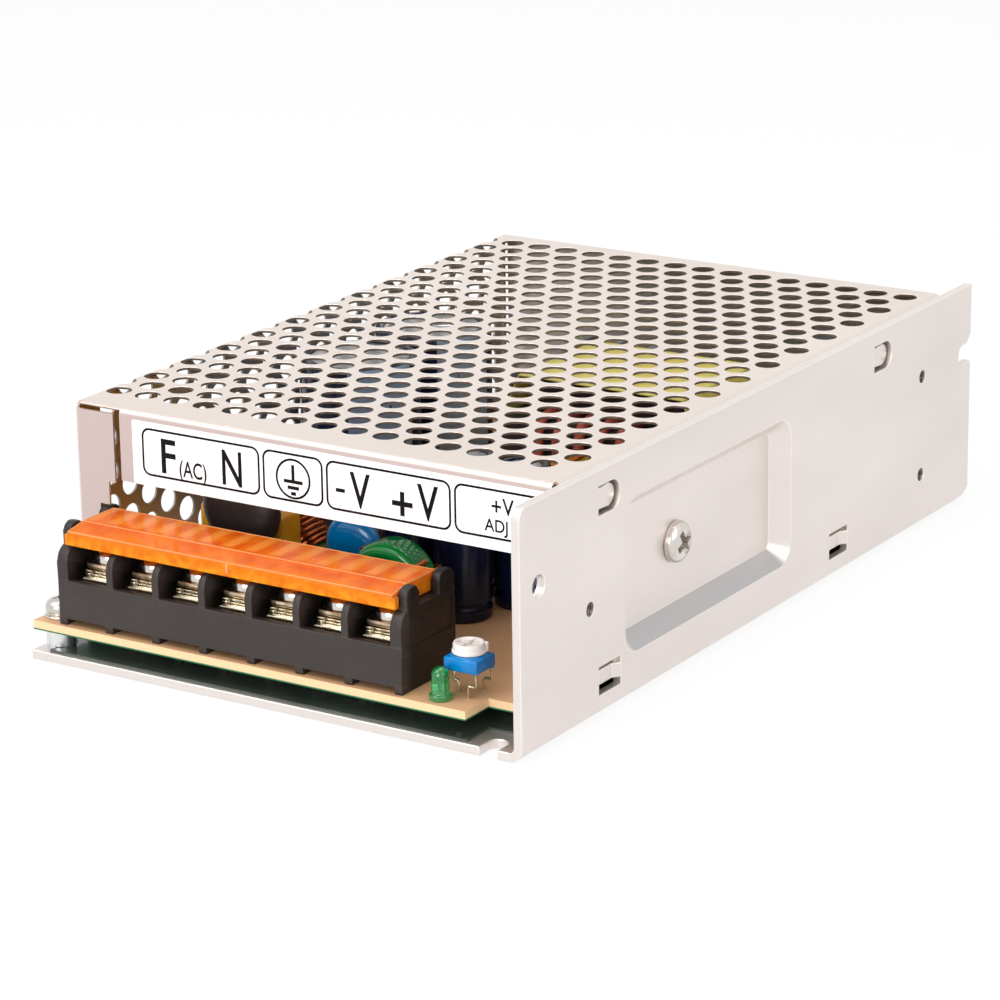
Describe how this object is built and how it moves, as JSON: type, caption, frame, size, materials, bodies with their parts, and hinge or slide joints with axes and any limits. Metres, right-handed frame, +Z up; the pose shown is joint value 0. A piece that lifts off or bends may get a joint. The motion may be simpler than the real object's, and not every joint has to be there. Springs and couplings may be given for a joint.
{
  "type": "mesh case switching power supply",
  "caption": "Enclosed switching power supply: folded aluminium chassis with a side panel, perforated steel cover, screw terminal block under a hinged clear lid, trimmer and lamp.",
  "frame": {"origin": "middle of the case's footprint, on the surface it stands on", "axes": "+X to the right, towards the tall side panel, +Y from the terminals to the rear, +Z up"},
  "size_m": [0.098, 0.159, 0.042],
  "materials": {
    "bare_aluminium": "satin, lightly grained",
    "plated_steel": "bright zinc plated sheet, smooth",
    "laminate": "tan paper laminate with a green underside",
    "film_sheet": "dark smooth film",
    "black_plastic": "moulded, fine satin",
    "orange_plastic": "clear tinted, glossy",
    "tinned_brass": "plated, worn bright at the edges",
    "steel_fastener": "plated, bright",
    "blue_plastic": "moulded, semi gloss",
    "white_plastic": "moulded",
    "green_lens": "clear tinted epoxy",
    "can_sleeve": "shrunk film over an aluminium can",
    "blue_epoxy": "dipped epoxy",
    "mustard_epoxy": "dipped epoxy",
    "dark_epoxy": "dipped, matt",
    "green_core": "painted iron powder",
    "yellow_core": "painted iron powder",
    "ferrite": "dark sintered ceramic",
    "copper_wire": "lacquered copper, glossy",
    "yellow_tape": "polyester tape",
    "heatsink_metal": "extruded, dull",
    "ceramic": "cast cement",
    "fuse_glass": "glass tube with plated caps"
  },
  "bodies": {
    "case": {"chassis": "bare_aluminium", "mesh_cover": "plated_steel", "circuit_board": "laminate", "insulating_film": "film_sheet", "standoffs": "steel_fastener", "board_washers": "steel_fastener", "board_screws": "steel_fastener", "terminal_block": "black_plastic", "clamp_plates": "tinned_brass", "terminal_screws": "steel_fastener", "trimmer_body": "blue_plastic", "trimmer_pins": "steel_fastener", "status_led": "green_lens", "thermistor": "dark_epoxy", "film_capacitor": "mustard_epoxy", "disc_capacitor_1": "blue_epoxy", "disc_capacitor_2": "blue_epoxy", "output_choke_core": "green_core", "output_choke_winding_left": "copper_wire", "output_choke_winding_right": "copper_wire", "filter_choke_core": "ferrite", "filter_choke_winding_left": "copper_wire", "filter_choke_winding_right": "copper_wire", "smoothing_choke_core": "yellow_core", "smoothing_choke_winding": "copper_wire", "fuse": "fuse_glass", "fuse_clips": "steel_fastener", "bridge_rectifier": "dark_epoxy", "transformer_core_front": "ferrite", "transformer_core_rear": "ferrite", "transformer_bobbin": "black_plastic", "transformer_winding": "yellow_tape", "power_transistor": "dark_epoxy", "output_rectifier": "dark_epoxy", "insulating_pads": "white_plastic", "clamp_bar": "plated_steel", "clamp_screw": "steel_fastener", "board_heatsink": "heatsink_metal", "auxiliary_transistor": "dark_epoxy", "control_chip": "dark_epoxy", "optocoupler": "white_plastic", "ceramic_resistor": "ceramic", "small_capacitors": "can_sleeve", "cover_screws": "steel_fastener", "contact_strip_1": "tinned_brass", "contact_strip_2": "tinned_brass", "contact_strip_3": "tinned_brass", "contact_strip_4": "tinned_brass", "contact_strip_5": "tinned_brass", "contact_strip_6": "tinned_brass", "contact_strip_7": "tinned_brass", "output_capacitor_1": "can_sleeve", "output_capacitor_2": "can_sleeve", "output_capacitor_3": "can_sleeve", "output_capacitor_4": "can_sleeve", "bulk_capacitor_1": "can_sleeve", "bulk_capacitor_2": "can_sleeve"},
    "terminal_cover": {"terminal_cover": "orange_plastic"},
    "trimmer_knob": {"trimmer_knob": "white_plastic"}
  },
  "joints": [
    {"name": "terminal_cover_hinge", "type": "hinge", "parent": "case", "child": "terminal_cover", "pos_m": [-0.00885, -0.0643, 0.0218], "axis": [-1, 0, 0], "range_deg": [0, 58]},
    {"name": "trimmer_turn", "type": "hinge", "parent": "case", "child": "trimmer_knob", "pos_m": [0.0342, -0.07145, 0.0137], "axis": [0, 0, 1], "range_deg": [-130, 130]}
  ]
}
